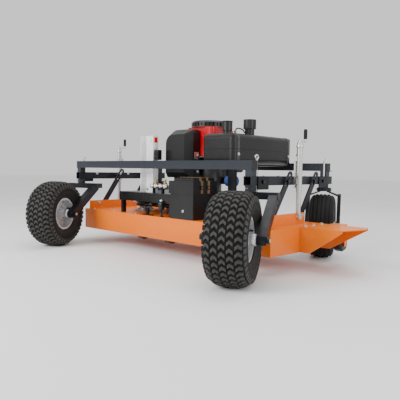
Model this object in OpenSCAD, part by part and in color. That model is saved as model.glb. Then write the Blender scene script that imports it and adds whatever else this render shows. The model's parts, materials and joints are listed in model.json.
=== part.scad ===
// Towed rough-cut mower: four-caster frame, hanging three-blade deck and its own engine.
// X points to the right-hand side, Y forwards, Z up. The origin is on the ground, mid-machine.

/* [Frame] */
// Width over the outer faces of the two side rails
frame_w = 1696; // [1690:1:1704]
// Distance between the rear and the front caster swivels
wheelbase = 800; // [795:1:830]
// Width of the square frame tube
tube = 51; // [48:1:52]
// Wall thickness of the square frame tube
tube_wall = 4; // [3:0.5:5]
// Height of the underside of the side rails
rail_z = 470; // [468:1:474]
// Height of the spacers that carry the cross tubes
spacer_h = 34; // [30:1:40]

/* [Casters] */
// How far all four casters are turned from straight ahead
caster_turn = 25; // [0:1:27]
// Radius of the rear tyres
rear_r = 228; // [222:1:229]
// Width of the rear tyres
rear_w = 206; // [190:1:208]
// Distance from the rear swivel back to the rear axle
rear_trail = 330; // [326:1:340]
// Radius of the front tyres
front_r = 203; // [198:1:204]
// Width of the front tyres
front_w = 162; // [150:1:165]
// Distance from the front swivel back to the front axle
front_trail = 70; // [60:1:74]
// Radius of the axle bolts
axle_r = 9.5; // [8:0.5:10]

/* [Deck] */
// Left edge of the deck
deck_left = -745; // [-748:1:-740]
// Right edge of the deck
deck_right = 970; // [960:1:974]
// Height of the lower edge of the deck skirt
deck_z = 101; // [96:1:104]
// Height of the top of the deck
deck_top = 245; // [243:1:247]
// Thickness of the deck steel
steel = 5; // [4:0.5:6]
// Side step between neighbouring blade spindles
spindle_step = 474; // [472:1:482]
// How far the middle spindle stands ahead of the outer two
spindle_lead = 140; // [136:1:144]
// Radius of the circle that a blade cuts
blade_r = 244; // [230:1:245]

/* [Engine and tank] */
// Height of the top of the engine platform
platform_z = 392; // [390:1:396]
// Length of the fuel tank
tank_l = 625; // [560:5:630]
// Width of the fuel tank
tank_w = 260; // [240:5:290]
// Height of the fuel tank
tank_h = 187; // [160:1:190]

/* [Hidden] */
$fn = 64;
frame_black = "#262c35";
plastic_black = "#191a1c";
deck_orange = "#e8641c";
zinc = "#b9bcbe";
tyre_black = "#2a2a2b";
rim_silver = "#c3c6c8";
engine_red = "#b3161c";
bare_steel = "#8b8e90";

centre_x = 154.85;
centre_y = 204.9;
half_w = frame_w / 2;
swivel_x = half_w - tube / 2 - 2.5;
cross_z = rail_z + tube + spacer_h;
pin_x = swivel_x + 15;
pin_y = 34;
pin_r = 6;
stem_r = 14;
fit = 0.05;
rear_crown_z = 436;
crown_h = 36;
front_crown_z = 446;
link_pin_z = 280;
flange_top = 305;
flange_y = 15;
flange_l = 460;
link_lean = 150;
link_bolt_z = 493;
link_rise = link_bolt_z - link_pin_z;
link_length = sqrt(link_lean * link_lean + link_rise * link_rise);
link_angle = atan(link_lean / link_rise);
right_link_x = half_w + 12;
left_link_x = -740;
rear_link_y = 150;
front_link_y = 445;
jack_y = 400;
jack_x = half_w + 27;
jack_tube_r = 17;
jack_rod_r = 14;
jack_top = 717;
deck_rear = -15;
deck_front = 508;
outer_spindle_y = 252;
middle_x = (deck_left + deck_right) / 2;
spindles = [[middle_x - spindle_step, outer_spindle_y],
            [middle_x, outer_spindle_y + spindle_lead],
            [middle_x + spindle_step, outer_spindle_y]];
shaft_r = 12.5;
pulley_r = 60;
groove_r = 52;
deck_belt_z = 289;
engine_belt_z = 315;
crank = [190, 360];
belt_t = 9;
idler_r = 26;
idler_arm_l = 120;
belt_run = (crank - spindles[0]) / norm(crank - spindles[0]);
idler_pulley = spindles[0] + belt_run * 232.7
    + [-belt_run[1], belt_run[0]] * (groove_r + belt_t + idler_r + 1);
idler = idler_pulley + [idler_arm_l, 0];
roller_r = 46;
rollers = [[-125, 48, 118], [150, 48, 118], [1065, 560, 128]];
roller_axle_r = 6;
tank_at = [330, 135, 588];
shroud_z = 640;
shroud_top = 835;
box_at = [203, -8];
box_w = 198;
cap_at = [505, 395];
platform_outline = [[-360, 20], [185, 20], [185, 205], [380, 205], [380, 500], [-360, 500]];
head_angles = [85, 175];

// ---- shared shapes ----

module machine() translate([-centre_x, -centre_y, 0]) children();

module tube_along_y(length) {
    translate([-tube / 2, 0, 0]) difference() {
        cube([tube, length, tube]);
        translate([tube_wall, -1, tube_wall])
            cube([tube - 2 * tube_wall, length + 2, tube - 2 * tube_wall]);
    }
}

module bar(length, width, thickness) {
    // A flat bar with round ends, lying along Z from its lower hole centre, thickness along X.
    rotate([0, 90, 0]) linear_extrude(thickness, center = true) {
        translate([-length, -width / 2]) square([length, width]);
        circle(d = width);
        translate([-length, 0]) circle(d = width);
    }
}

module bolt_along_x(radius, length) {
    rotate([0, 90, 0]) cylinder(r = radius, h = length);
    translate([length, 0, 0]) rotate([0, 90, 0]) cylinder(r = radius * 1.8, h = 6, $fn = 6);
}

function unit(v) = v / norm(v);
function inward(a, b) = let (d = unit(b - a)) [-d[1], d[0]];
// The corners of a counter-clockwise outline moved inwards by one wall thickness.
function inset(p, wall) = [for (i = [0:len(p) - 1])
    let (a = p[(i + len(p) - 1) % len(p)], b = p[i], c = p[(i + 1) % len(p)],
         n1 = inward(a, b), n2 = inward(b, c))
    b + (n1 + n2) * wall / (1 + n1 * n2)];

module tray(outline, bottom, top, wall) {
    difference() {
        translate([0, 0, bottom]) linear_extrude(top - bottom) polygon(outline);
        translate([0, 0, bottom - 1])
            linear_extrude(top - bottom - wall + 1) polygon(inset(outline, wall));
    }
}

module round_box(size, radius) {
    // A moulded box with rounded edges all round, from its lowest corner.
    intersection() {
        linear_extrude(size[2]) rounded_rect([size[0], size[1]], radius);
        translate([size[0], 0, 0]) rotate([0, -90, 0])
            linear_extrude(size[0]) rounded_rect([size[2], size[1]], radius);
        translate([0, size[1], 0]) rotate([90, 0, 0])
            linear_extrude(size[1]) rounded_rect([size[0], size[2]], radius);
    }
}

module rounded_rect(size, radius) {
    translate([radius, 0]) square([size[0] - 2 * radius, size[1]]);
    translate([0, radius]) square([size[0], size[1] - 2 * radius]);
    for (x = [radius, size[0] - radius], y = [radius, size[1] - radius])
        translate([x, y]) circle(r = radius);
}

// ---- frame ----

module rail(side) {
    color(frame_black) difference() {
        translate([side * (half_w - tube / 2), -30, rail_z]) tube_along_y(wheelbase + 81);
        for (y = [pin_y, wheelbase - pin_y])
            translate([side * pin_x, y, rail_z - 1]) cylinder(r = pin_r + 0.4, h = tube + 2);
    }
}

module cross_tube(y) {
    color(frame_black) translate([half_w, y, cross_z]) rotate([0, 0, 90])
        tube_along_y(frame_w);
}

module corner_brackets() {
    plate = 6;
    color(frame_black) for (side = [-1, 1], y = [0, wheelbase]) {
        translate([side * (half_w - tube / 2) - 22, y - 22, rail_z + tube])
            cube([44, 44, spacer_h]);
        toward = y == 0 ? 1 : -1;
        translate([side * (half_w + plate / 2) - plate / 2, y + toward * 75 - 49, rail_z - 22])
            cube([plate, 98, tube + 22]);
        translate([side * (half_w + plate), y + toward * 72, rail_z + 20])
            rotate([0, 0, side < 0 ? 180 : 0]) bolt_along_x(6, 2);
    }
    color(zinc) for (lift = [rear_link_y, front_link_y]) {
        translate([half_w, lift + link_lean, link_bolt_z]) bolt_along_x(6, 20);
        translate([-half_w + tube, lift + link_lean, link_bolt_z])
            bolt_along_x(6, left_link_x + half_w - tube + 8);
    }
}

module swivel_housings() {
    color(frame_black) for (side = [-1, 1]) {
        swivel_housing(side, 0, rear_crown_z + 0.5);
        swivel_housing(side, wheelbase, front_crown_z + 0.5);
    }
}

module swivel_housing(side, y, bottom) {
    translate([side * swivel_x, y, bottom]) difference() {
        cylinder(r = 28, h = rail_z - bottom);
        translate([0, 0, -1]) cylinder(r = stem_r + fit, h = rail_z - bottom + 2);
    }
}

module jack_tubes() {
    bottom = 424;
    for (side = [-1, 1]) {
        color(zinc) translate([side * jack_x, jack_y, bottom]) difference() {
            cylinder(r = jack_tube_r, h = jack_top - bottom);
            translate([0, 0, -1]) cylinder(r = jack_rod_r + fit, h = jack_top - bottom - 7);
        }
        color(frame_black) translate([side * (half_w + 5.5) - 5.5, jack_y - 16, 452])
            cube([11, 24, 200]);
        color(frame_black) for (z = [478, 610]) difference() {
            translate([side * (half_w + 12) - 12, jack_y - 24, z]) cube([24, 48, 26]);
            translate([side * jack_x, jack_y, z - 1]) cylinder(r = jack_tube_r, h = 28);
        }
    }
}

module hitch_clevis() {
    gap = 60;
    color(frame_black) for (side = [-1, 1])
        translate([side * (gap / 2 + 6) - 6, wheelbase + tube / 2, cross_z - 20]) difference() {
            union() {
                cube([12, 70, tube + 20]);
                translate([0, 70, (tube + 20) / 2]) rotate([0, 90, 0])
                    cylinder(d = tube + 20, h = 12);
            }
            translate([-1, 70, (tube + 20) / 2]) rotate([0, 90, 0]) cylinder(r = 12.7, h = 14);
        }
}

module lock_pin(side, y, bottom) {
    top = cross_z + tube + 6;
    color(zinc) translate([side * pin_x, y, 0]) {
        translate([0, 0, bottom + 1]) cylinder(r = pin_r, h = top - bottom);
        translate([0, 0, top + 12]) rotate([0, 90, 0]) rotate_extrude()
            translate([12, 0]) circle(r = 3.5, $fn = 24);
    }
}

// ---- casters: drawn with the swivel at the origin and the axle straight behind it ----

module caster(side, y) translate([side * swivel_x, y, 0]) rotate([0, 0, caster_turn]) children();

module axle_bolt(half_length, trail, radius) {
    color(zinc) translate([-half_length, -trail, radius]) {
        rotate([0, 90, 0]) cylinder(r = axle_r, h = 2 * half_length);
        for (x = [-2, 2 * half_length - 12])
            translate([x, 0, 0]) rotate([0, 90, 0]) cylinder(r = axle_r * 1.75, h = 14, $fn = 6);
    }
}

module fork_leg(x, width, top, trail, radius, lean_y) {
    // A channel with its web to the rear and its open side forwards.
    web = 6;
    reach = norm([trail + lean_y, top - radius]);
    angle = atan2(trail + lean_y, top - radius);
    translate([x, -trail, radius]) rotate([-angle, 0, 0]) difference() {
        bar(reach - 20, 54, width);
        translate([web - width / 2, web - 27, 34]) cube([width - 2 * web, 60, reach - 80]);
    }
}

module rear_fork() {
    leg_w = 44;
    leg_x = rear_w / 2 + 7 + leg_w / 2;
    crown_w = 2 * leg_x + leg_w + 4;
    color(frame_black) difference() {
        union() {
            difference() {
                translate([-crown_w / 2, -45, rear_crown_z - crown_h]) cube([crown_w, 90, crown_h]);
                translate([-leg_x + leg_w / 2 + 2, -39, rear_crown_z - crown_h - 1])
                    cube([2 * leg_x - leg_w - 4, 78, crown_h - 7]);
            }
            translate([0, 0, rear_crown_z - 1]) cylinder(r = stem_r, h = rail_z - rear_crown_z);
            for (x = [-leg_x, leg_x])
                fork_leg(x, leg_w, rear_crown_z - 18, rear_trail, rear_r, -10);
        }
        for (side = [-1, 1])
            translate([side * 15, pin_y, rear_crown_z - crown_h - 1])
                cylinder(r = pin_r + 0.5, h = crown_h + 2);
    }
    axle_bolt(leg_x + leg_w / 2 + 14, rear_trail, rear_r);
}

module front_fork() {
    leg_x = front_w / 2 + 18;
    slope = 22;
    color(frame_black) difference() {
        union() {
            translate([0, 0, front_crown_z - 22]) cylinder(r = 48, h = 22);
            translate([0, 0, front_crown_z - 1]) cylinder(r = stem_r, h = rail_z - front_crown_z);
            for (s = [-1, 1]) translate([0, 0, front_crown_z - 18]) rotate([0, s * slope, 0])
                translate([s > 0 ? 20 : -leg_x / cos(slope) - 2, -38, 0])
                    cube([leg_x / cos(slope) - 18, 76, 9]);
            for (x = [-leg_x, leg_x])
                fork_leg(x, 22, front_crown_z - 46, front_trail, front_r, 0);
        }
        for (side = [-1, 1])
            translate([side * 15, -pin_y, front_crown_z - 40]) cylinder(r = pin_r + 0.5, h = 42);
    }
    axle_bolt(leg_x + 32, front_trail, front_r);
}

module wheel_axis(trail, radius) translate([0, -trail, radius]) rotate([0, 90, 0]) children();

module rim(trail, radius, width) {
    half = width * 0.36;
    color(rim_silver) wheel_axis(trail, radius) rotate_extrude($fn = 96) {
        translate([98, -half]) square([4, 2 * half]);
        for (z = [-half, half - 4]) translate([98, z]) square([14, 4]);
        translate([26, 14]) square([74, 5]);
        translate([axle_r + fit, -width / 2 - 6]) square([18, width + 12]);
    }
}

module tyre(trail, radius, width) {
    half = width / 2;
    bead = 0.36 * width + 0.5;
    outer = [for (t = [0:15:180]) [112.5 + (radius - 112.5) * pow(sin(t), 0.55),
                                   -half * sign(cos(t)) * pow(abs(cos(t)), 0.45)]];
    inner = [for (t = [180:-15:0]) [112.5 + (radius - 126.5) * pow(sin(t), 0.6),
                                    -(half - 13) * sign(cos(t)) * pow(abs(cos(t)), 0.45)]];
    color(tyre_black) wheel_axis(trail, radius) rotate_extrude($fn = 96)
        polygon(concat([[112.5, -half * 0.8]], [for (p = outer) if (p[0] > 118) p],
                       [[112.5, half * 0.8], [112.5, half * 0.8 - 14]],
                       [for (p = inner) if (p[0] > 122) p], [[112.5, -half * 0.8 + 14]]));
}

// ---- deck ----

function deck_outline() = [
    [deck_left, deck_rear], [deck_right, deck_rear], [deck_right + 13, 250],
    [deck_right + 13, 484], [deck_right - 15, deck_front], [middle_x + 275, deck_front],
    [middle_x + 175, deck_front + 148], [middle_x - 175, deck_front + 148],
    [middle_x - 275, deck_front], [deck_left + 44, deck_front], [deck_left, deck_front - 44]];

module deck_shell() {
    color(deck_orange) difference() {
        tray(deck_outline(), deck_z, deck_top, steel);
        for (s = spindles) translate([s[0], s[1], deck_top - 20]) cylinder(r = 36, h = 40);
        translate([deck_right - 30, 262, deck_z - 1]) cube([80, 210, deck_top - deck_z - 14]);
    }
}

module upright_flange(x)
    translate([x, flange_y, deck_top]) cube([6, flange_l, flange_top - deck_top]);

module deck_brackets() {
    color(deck_orange) {
        upright_flange(right_link_x + 8);
        upright_flange(left_link_x + 8);
    }
    color(zinc) for (y = [rear_link_y, front_link_y]) {
        translate([right_link_x - 7, y, link_pin_z]) rotate([0, 90, 0])
            cylinder(r = 8, h = 15);
        translate([left_link_x - 7, y, link_pin_z]) rotate([0, 90, 0])
            cylinder(r = 8, h = 15);
    }
    for (r = rollers) roller_bracket(r);
}

module roller_bracket(place) {
    cheek_h = (place[0] > deck_right ? deck_top : deck_top - steel) - place[2] + 14;
    color(frame_black) translate(place) {
        for (x = [-38, 32]) translate([x, -15, -14]) cube([6, 30, cheek_h]);
        translate([-38, 0, 0]) rotate([0, 90, 0]) cylinder(r = roller_axle_r, h = 76);
        if (place[0] > deck_right) translate([-38, -70, cheek_h - 20]) cube([76, 85, 6]);
    }
}

module discharge_chute() {
    inner_x = deck_right + 14;
    lip = deck_top - 15;
    tip = deck_right + 261;
    color(deck_orange) {
        translate([0, 0, deck_top - steel]) linear_extrude(steel)
            polygon([[inner_x, 250], [tip, 250], [tip + 56, 400], [tip + 34, 490], [inner_x, 490]]);
        translate([0, 255, 0]) rotate([90, 0, 0]) linear_extrude(steel)
            polygon([[inner_x, deck_z], [1045, deck_z], [tip, lip], [tip, deck_top],
                     [inner_x, deck_top]]);
        translate([0, 490, 0]) rotate([90, 0, 0]) linear_extrude(steel)
            polygon([[inner_x, deck_z], [1040, deck_z], [tip + 34, lip], [tip + 34, deck_top],
                     [inner_x, deck_top]]);
    }
}

module spindle_housings() {
    color(bare_steel) for (s = spindles) translate([s[0], s[1], 0]) difference() {
        union() {
            translate([0, 0, 195]) cylinder(r = 35, h = 78);
            translate([0, 0, deck_top]) cylinder(r = 72, h = 8);
        }
        translate([0, 0, 190]) cylinder(r = shaft_r + fit, h = 90);
        for (a = [45:90:315]) rotate([0, 0, a]) translate([58, 0, deck_top - 1])
            cylinder(r = 5, h = 10);
    }
}

module pulley(z) {
    translate([0, 0, z]) rotate_extrude($fn = 96)
        polygon([[0, -11], [pulley_r, -11], [groove_r, -5], [groove_r, 5], [pulley_r, 11],
                 [0, 11]]);
}

module spindle(i) {
    top = i == 0 ? 328 : 302;
    color(bare_steel) translate([spindles[i][0], spindles[i][1], 0]) {
        translate([0, 0, 112]) cylinder(r = shaft_r, h = top - 112);
        pulley(deck_belt_z);
        if (i == 0) pulley(engine_belt_z);
    }
}

module blade(i) {
    half_width = 30;
    color("#4b4d50") translate([spindles[i][0], spindles[i][1], 114]) difference() {
        union() {
            intersection() {
                translate([-blade_r, -half_width, 0]) cube([2 * blade_r, 2 * half_width, 6]);
                cylinder(r = blade_r, h = 6);
            }
            for (a = [0, 180]) rotate([0, 0, a]) translate([blade_r - 95, 12, 5])
                rotate([30, 0, 0]) cube([80, 26, 4]);
            translate([0, 0, 5]) cylinder(r = 24, h = 20);
        }
        translate([0, 0, -1]) cylinder(r = shaft_r, h = 30);
    }
}

module jack_rods() {
    // The foot of each rod is slotted over the deck's upright flange.
    color(zinc) difference() {
        union() {
            for (side = [-1, 1]) {
                translate([side * jack_x, jack_y, 300]) cylinder(r = jack_rod_r, h = 376);
                translate([side * jack_x - 16, jack_y - 18, 268]) cube([32, 36, 32]);
            }
            translate([-jack_x, jack_y - 18, 262]) cube([jack_x + left_link_x + 14, 36, 6]);
        }
        upright_flange(right_link_x + 8);
        upright_flange(left_link_x + 8);
    }
}

module belt_loop(stations, z) {
    translate([0, 0, z - 4.5]) linear_extrude(9) difference() {
        hull() for (s = stations) translate(s) circle(r = groove_r + 0.3 + belt_t, $fn = 48);
        hull() for (s = stations) translate(s) circle(r = groove_r + 0.3, $fn = 48);
    }
}

module drive_belts() {
    color(plastic_black) {
        belt_loop(spindles, deck_belt_z);
        belt_loop([crank, spindles[0]], engine_belt_z);
    }
}

module idler_arm() {
    color(bare_steel) {
        translate([idler_pulley[0], idler_pulley[1], engine_belt_z - 12]) {
            translate([0, 0, 4]) cylinder(r = idler_r, h = 14);
            cylinder(r = 6, h = 22);
        }
        difference() {
            translate([idler_pulley[0], idler[1] - 14, engine_belt_z - 12])
                cube([idler_arm_l + 14, 28, 4]);
            translate([idler[0], idler[1], engine_belt_z - 13]) cylinder(r = 6 + fit, h = 6);
        }
    }
}

module roller(i) {
    color(plastic_black) translate(rollers[i]) rotate([0, 90, 0]) rotate_extrude()
        polygon([[roller_axle_r + fit, -30], [roller_r - 10, -30], [roller_r, -18],
                 [roller_r, 18], [roller_r - 10, 30], [roller_axle_r + fit, 30]]);
}

module link(x, y) {
    color(frame_black) translate([x, y, link_pin_z]) rotate([-link_angle, 0, 0]) difference() {
        bar(link_length + 46, 40, 8);
        rotate([0, 90, 0]) cylinder(r = 8 + fit, h = 20, center = true);
        translate([0, 0, link_length - 25]) bar(69, 17.2, 12);
    }
}

module jack_crank(side) {
    color(zinc) translate([side * jack_x, jack_y, jack_top + 0.3]) {
        cylinder(r = 11, h = 18);
        translate([-7, -2, 6]) cube([14, 66, 7]);
        translate([0, 58, 8]) cylinder(r = 5, h = 36);
    }
    color(plastic_black) translate([side * jack_x, jack_y + 58, jack_top + 26])
        cylinder(r = 9, h = 58);
}

// ---- engine, battery and tank ----

module engine_platform() {
    color(plastic_black) difference() {
        tray(platform_outline, platform_z - 60, platform_z, 4);
        translate([crank[0], crank[1], platform_z - 20]) cylinder(r = 32, h = 40);
    }
    color(frame_black) for (p = [[-352, 28], [151, 28], [-352, 466], [346, 466], [346, 213]])
        translate([p[0], p[1], deck_top]) cube([26, 26, platform_z - deck_top - 4]);
    // Pivot post of the idler arm
    color(zinc) translate([idler[0], idler[1], deck_top]) {
        cylinder(r = 13, h = engine_belt_z - 12.5 - deck_top);
        cylinder(r = 6, h = engine_belt_z - 7 - deck_top);
    }
}

module engine_block() {
    color("#3a3c3f") translate([crank[0], crank[1], 0]) {
        translate([0, 0, platform_z]) cylinder(r = 105, h = 16);
        translate([0, 0, platform_z + 16]) cylinder(r = 88, h = shroud_z - platform_z - 20);
        // Boss of the oil filter, then the stay that holds the muffler cover
        translate([60, 58, 456]) cube([40, 44, 44]);
        translate([-210, -130, 560]) cube([243, 46, 30]);
        for (a = head_angles) rotate([0, 0, a]) {
            translate([60, -52, 470]) cube([70, 104, 110]);
            for (i = [0:5]) translate([128 + i * 9, -60, 462]) cube([4, 120, 126]);
            translate([120, -40, 482]) cube([70, 80, 86]);
        }
    }
}

module blower_shroud() {
    // Each layer is [height of its lower face, thickness, how far it steps in].
    layers = [[shroud_z, 158, 0], [shroud_z + 157, 20, 7], [shroud_z + 176, 19, 18]];
    color(engine_red) difference() {
        for (l = layers) translate([50 + l[2], 238 + l[2], l[0]])
            linear_extrude(l[1]) rounded_rect([272 - 2 * l[2], 252 - 2 * l[2]], 34);
        translate([crank[0], crank[1], shroud_top - 90]) cylinder(r = 95, h = 100);
    }
}

module rotating_screen() {
    color(plastic_black) translate([crank[0], crank[1], shroud_top + 2]) difference() {
        rotate_extrude($fn = 96)
            polygon([[0, 0], [124, 0], [124, 30], [112, 41], [0, 41]]);
        for (a = [0:12:348]) rotate([0, 0, a]) translate([108, -4, 7]) cube([20, 8, 18]);
    }
}

module cover_profile(grow) {
    // Outline of the muffler cover seen from behind: a large arc at the upper left.
    offset(delta = grow) union() {
        translate([-20, 498]) square([243, 222]);
        translate([75, 720]) square([120, 95]);
        translate([75, 720]) circle(r = 95);
        translate([195, 787]) circle(r = 28);
        translate([195, 720]) square([28, 67]);
    }
}

module muffler_cover() {
    // A moulded shell, open to the front, whose rear face is drawn in all round.
    color(plastic_black) difference() {
        hull() {
            translate([0, 230, 0]) rotate([90, 0, 0]) linear_extrude(60) cover_profile(0);
            translate([0, 124, 0]) rotate([90, 0, 0]) linear_extrude(4) cover_profile(-34);
        }
        hull() {
            translate([0, 231, 0]) rotate([90, 0, 0]) linear_extrude(62) cover_profile(-9);
            translate([0, 138, 0]) rotate([90, 0, 0]) linear_extrude(4) cover_profile(-40);
        }
    }
}

module oil_filter() {
    color("#2a4fa8") translate([290, 440, 478]) rotate([0, 90, 0]) {
        cylinder(r = 36, h = 72);
        cylinder(r = 29, h = 78);
    }
}

module hose_post() {
    post_h = 387;
    color("#d8d8d4") translate([-176, 60, platform_z]) difference() {
        cube([130, 46, post_h]);
        translate([4, -1, -1]) cube([122, 43, post_h + 2]);
        for (z = [35, 352]) translate([65, 30, z]) rotate([-90, 0, 0]) cylinder(r = 6, h = 30);
    }
}

module battery_box() {
    color(plastic_black) translate([box_at[0], box_at[1], deck_top]) difference() {
        cube([box_w, box_w, 170]);
        translate([5, 5, 5]) cube([box_w - 10, box_w - 10, 170]);
    }
}

module battery() {
    color("#2e2f33") translate([box_at[0] + 12, box_at[1] + 26, deck_top + 5.5])
        cube([box_w - 24, box_w - 52, 160]);
    color(bare_steel) for (x = [40, box_w - 40])
        translate([box_at[0] + x, box_at[1] + 60, deck_top + 165]) cylinder(r = 8, h = 14);
}

module battery_lid() {
    lap = 8;
    lid_w = box_w + 2 * lap;
    color(plastic_black) translate([box_at[0] - lap, box_at[1] - lap, deck_top + 158])
        difference() {
            union() {
                cube([lid_w, lid_w, 78]);
                translate([32, 14, 77]) cube([lid_w - 46, lid_w - 28, 22]);
            }
            translate([lap - 0.5, lap - 0.5, -1]) cube([box_w + 1, box_w + 1, 72]);
            for (i = [0:4]) translate([44 + i * 29, -1, 93]) cube([12, lid_w + 2, 8]);
        }
}

module fuel_tank() {
    // The tank with its filler neck and, at the rear, the neck of the gauge.
    color(plastic_black) {
        translate(tank_at) round_box([tank_w, tank_l, tank_h], 34);
        translate([tank_at[0] + 140, tank_at[1] + 80, tank_at[2] + tank_h - 20]) {
            cylinder(r = 26, h = 58);
            translate([0, 0, 40]) cylinder(r = 32, h = 54);
        }
        translate([cap_at[0], cap_at[1], tank_at[2] + tank_h - 20]) cylinder(r = 31, h = 60);
    }
}

module tank_stand() {
    under = tank_at[2] - 7;
    color(frame_black) {
        translate([tank_at[0] + 30, 165, under]) cube([tank_w - 60, 565, 7]);
        for (y = [232, 450]) translate([tank_at[0] + 138, y, deck_top])
            cube([40, 40, under - deck_top]);
    }
}

module fuel_cap() {
    color(plastic_black) translate([cap_at[0], cap_at[1], tank_at[2] + tank_h + 40.3])
        difference() {
            cylinder(r = 41, h = 60);
            for (a = [0:18:342]) rotate([0, 0, a]) translate([43, 0, -1])
                cylinder(r = 4, h = 62, $fn = 16);
        }
}

module engine_pulley() {
    color(bare_steel) translate([crank[0], crank[1], 0]) {
        pulley(engine_belt_z);
        translate([0, 0, engine_belt_z]) cylinder(r = shaft_r, h = platform_z - engine_belt_z - 1);
    }
}

machine() rail(-1);  // left_rail
machine() rail(1);  // right_rail
machine() cross_tube(0);  // rear_cross_tube
machine() cross_tube(wheelbase);  // front_cross_tube
machine() corner_brackets();
machine() swivel_housings();
machine() jack_tubes();
machine() hitch_clevis();
machine() lock_pin(-1, pin_y, rear_crown_z);  // rear_left_lock_pin
machine() lock_pin(1, pin_y, rear_crown_z);  // rear_right_lock_pin
machine() lock_pin(-1, wheelbase - pin_y, front_crown_z);  // front_left_lock_pin
machine() lock_pin(1, wheelbase - pin_y, front_crown_z);  // front_right_lock_pin
machine() caster(-1, 0) rear_fork();  // rear_left_fork
machine() caster(1, 0) rear_fork();  // rear_right_fork
machine() caster(-1, wheelbase) front_fork();  // front_left_fork
machine() caster(1, wheelbase) front_fork();  // front_right_fork
machine() caster(-1, 0) rim(rear_trail, rear_r, rear_w);  // rear_left_rim
machine() caster(1, 0) rim(rear_trail, rear_r, rear_w);  // rear_right_rim
machine() caster(-1, wheelbase) rim(front_trail, front_r, front_w);  // front_left_rim
machine() caster(1, wheelbase) rim(front_trail, front_r, front_w);  // front_right_rim
machine() caster(-1, 0) tyre(rear_trail, rear_r, rear_w);  // rear_left_tyre
machine() caster(1, 0) tyre(rear_trail, rear_r, rear_w);  // rear_right_tyre
machine() caster(-1, wheelbase) tyre(front_trail, front_r, front_w);  // front_left_tyre
machine() caster(1, wheelbase) tyre(front_trail, front_r, front_w);  // front_right_tyre
machine() deck_shell();
machine() deck_brackets();
machine() discharge_chute();
machine() spindle_housings();
machine() jack_rods();
machine() engine_platform();
machine() engine_block();
machine() blower_shroud();
machine() rotating_screen();
machine() muffler_cover();
machine() oil_filter();
machine() hose_post();
machine() battery_box();
machine() battery();
machine() battery_lid();
machine() fuel_tank();
machine() tank_stand();
machine() fuel_cap();
machine() engine_pulley();
machine() drive_belts();
machine() idler_arm();
machine() spindle(0);  // left_spindle
machine() spindle(1);  // middle_spindle
machine() spindle(2);  // right_spindle
machine() blade(0);  // left_blade
machine() blade(1);  // middle_blade
machine() blade(2);  // right_blade
machine() roller(0);  // left_roller
machine() roller(1);  // middle_roller
machine() roller(2);  // right_roller
machine() link(right_link_x, rear_link_y);  // right_rear_link
machine() link(right_link_x, front_link_y);  // right_front_link
machine() link(left_link_x, rear_link_y);  // left_rear_link
machine() link(left_link_x, front_link_y);  // left_front_link
machine() jack_crank(-1);  // left_jack_crank
machine() jack_crank(1);  // right_jack_crank
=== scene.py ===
"""Looks for the towed rough-cut mower: tread, straps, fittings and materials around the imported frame."""
import json
import math
import random

import bmesh
import bpy
from mathutils import Matrix, Vector


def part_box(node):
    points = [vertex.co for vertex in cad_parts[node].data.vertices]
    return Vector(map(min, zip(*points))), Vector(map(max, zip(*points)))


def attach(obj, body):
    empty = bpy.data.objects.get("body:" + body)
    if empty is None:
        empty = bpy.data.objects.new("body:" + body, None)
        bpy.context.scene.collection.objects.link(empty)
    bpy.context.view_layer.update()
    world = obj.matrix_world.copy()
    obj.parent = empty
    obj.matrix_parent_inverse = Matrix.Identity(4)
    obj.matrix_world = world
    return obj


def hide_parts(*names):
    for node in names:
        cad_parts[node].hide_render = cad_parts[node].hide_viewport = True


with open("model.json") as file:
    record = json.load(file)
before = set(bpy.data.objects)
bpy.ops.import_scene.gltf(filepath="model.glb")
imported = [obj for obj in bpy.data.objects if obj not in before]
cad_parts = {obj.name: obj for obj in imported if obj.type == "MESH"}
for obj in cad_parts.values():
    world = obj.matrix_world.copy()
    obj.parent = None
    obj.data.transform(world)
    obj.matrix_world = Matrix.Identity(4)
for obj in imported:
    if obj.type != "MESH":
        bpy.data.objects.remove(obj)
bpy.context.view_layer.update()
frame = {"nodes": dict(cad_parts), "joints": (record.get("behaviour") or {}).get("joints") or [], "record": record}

WELD_SEED = 7
MM = 0.001

# +X is the machine's right and -Y its back; the camera looks from between them
UP = (0, 0, 1)
RIGHT = (1, 0, 0)
LEFT = (-1, 0, 0)
BACK = (0, -1, 0)

random.seed(WELD_SEED)

# ---- camera: metres, degrees, and millimetres for the lens ----

CAMERA_PLACE = Vector((2.35127, -2.00791, 0.54853))
CAMERA_TURN = 43.43
CAMERA_PITCH = -3.64
CAMERA_ROLL = 0.84
CAMERA_LENS = 42.08
CAMERA_SENSOR = 36.0
CAMERA_REACH = 60.0
# Where the model's origin lies in the coordinates that CAMERA_PLACE is given in
MACHINE_ORIGIN = Vector((0.15485, 0.2049, 0.0))


def make_camera():
    data = bpy.data.cameras.new("camera")
    data.lens = CAMERA_LENS
    data.sensor_width = CAMERA_SENSOR
    data.clip_end = CAMERA_REACH
    cam = bpy.data.objects.new("camera", data)
    bpy.context.scene.collection.objects.link(cam)
    turn = Matrix.Rotation(math.radians(CAMERA_TURN), 4, "Z")
    tilt = Matrix.Rotation(math.radians(90.0 + CAMERA_PITCH), 4, "X")
    roll = Matrix.Rotation(math.radians(CAMERA_ROLL), 4, "Z")
    cam.matrix_world = Matrix.Translation(CAMERA_PLACE - MACHINE_ORIGIN) @ turn @ tilt @ roll
    bpy.context.scene.camera = cam


make_camera()

# ---- material helpers ----

PAINT_SPECULAR = 0.22
PLASTIC_SPECULAR = 0.4
TREAD_SPECULAR = 0.18
COAT_ROUGHNESS = 0.12
METALLIC = 0.9
# Dust is thickest at this height and below, and covers at most this share of the paint
DUST_FULL = 0.08
DUST_MOST = 0.3


def new_material(name):
    mat = bpy.data.materials.new(name)
    mat.use_nodes = True
    tree = mat.node_tree
    return mat, tree, tree.nodes["Principled BSDF"]


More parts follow.
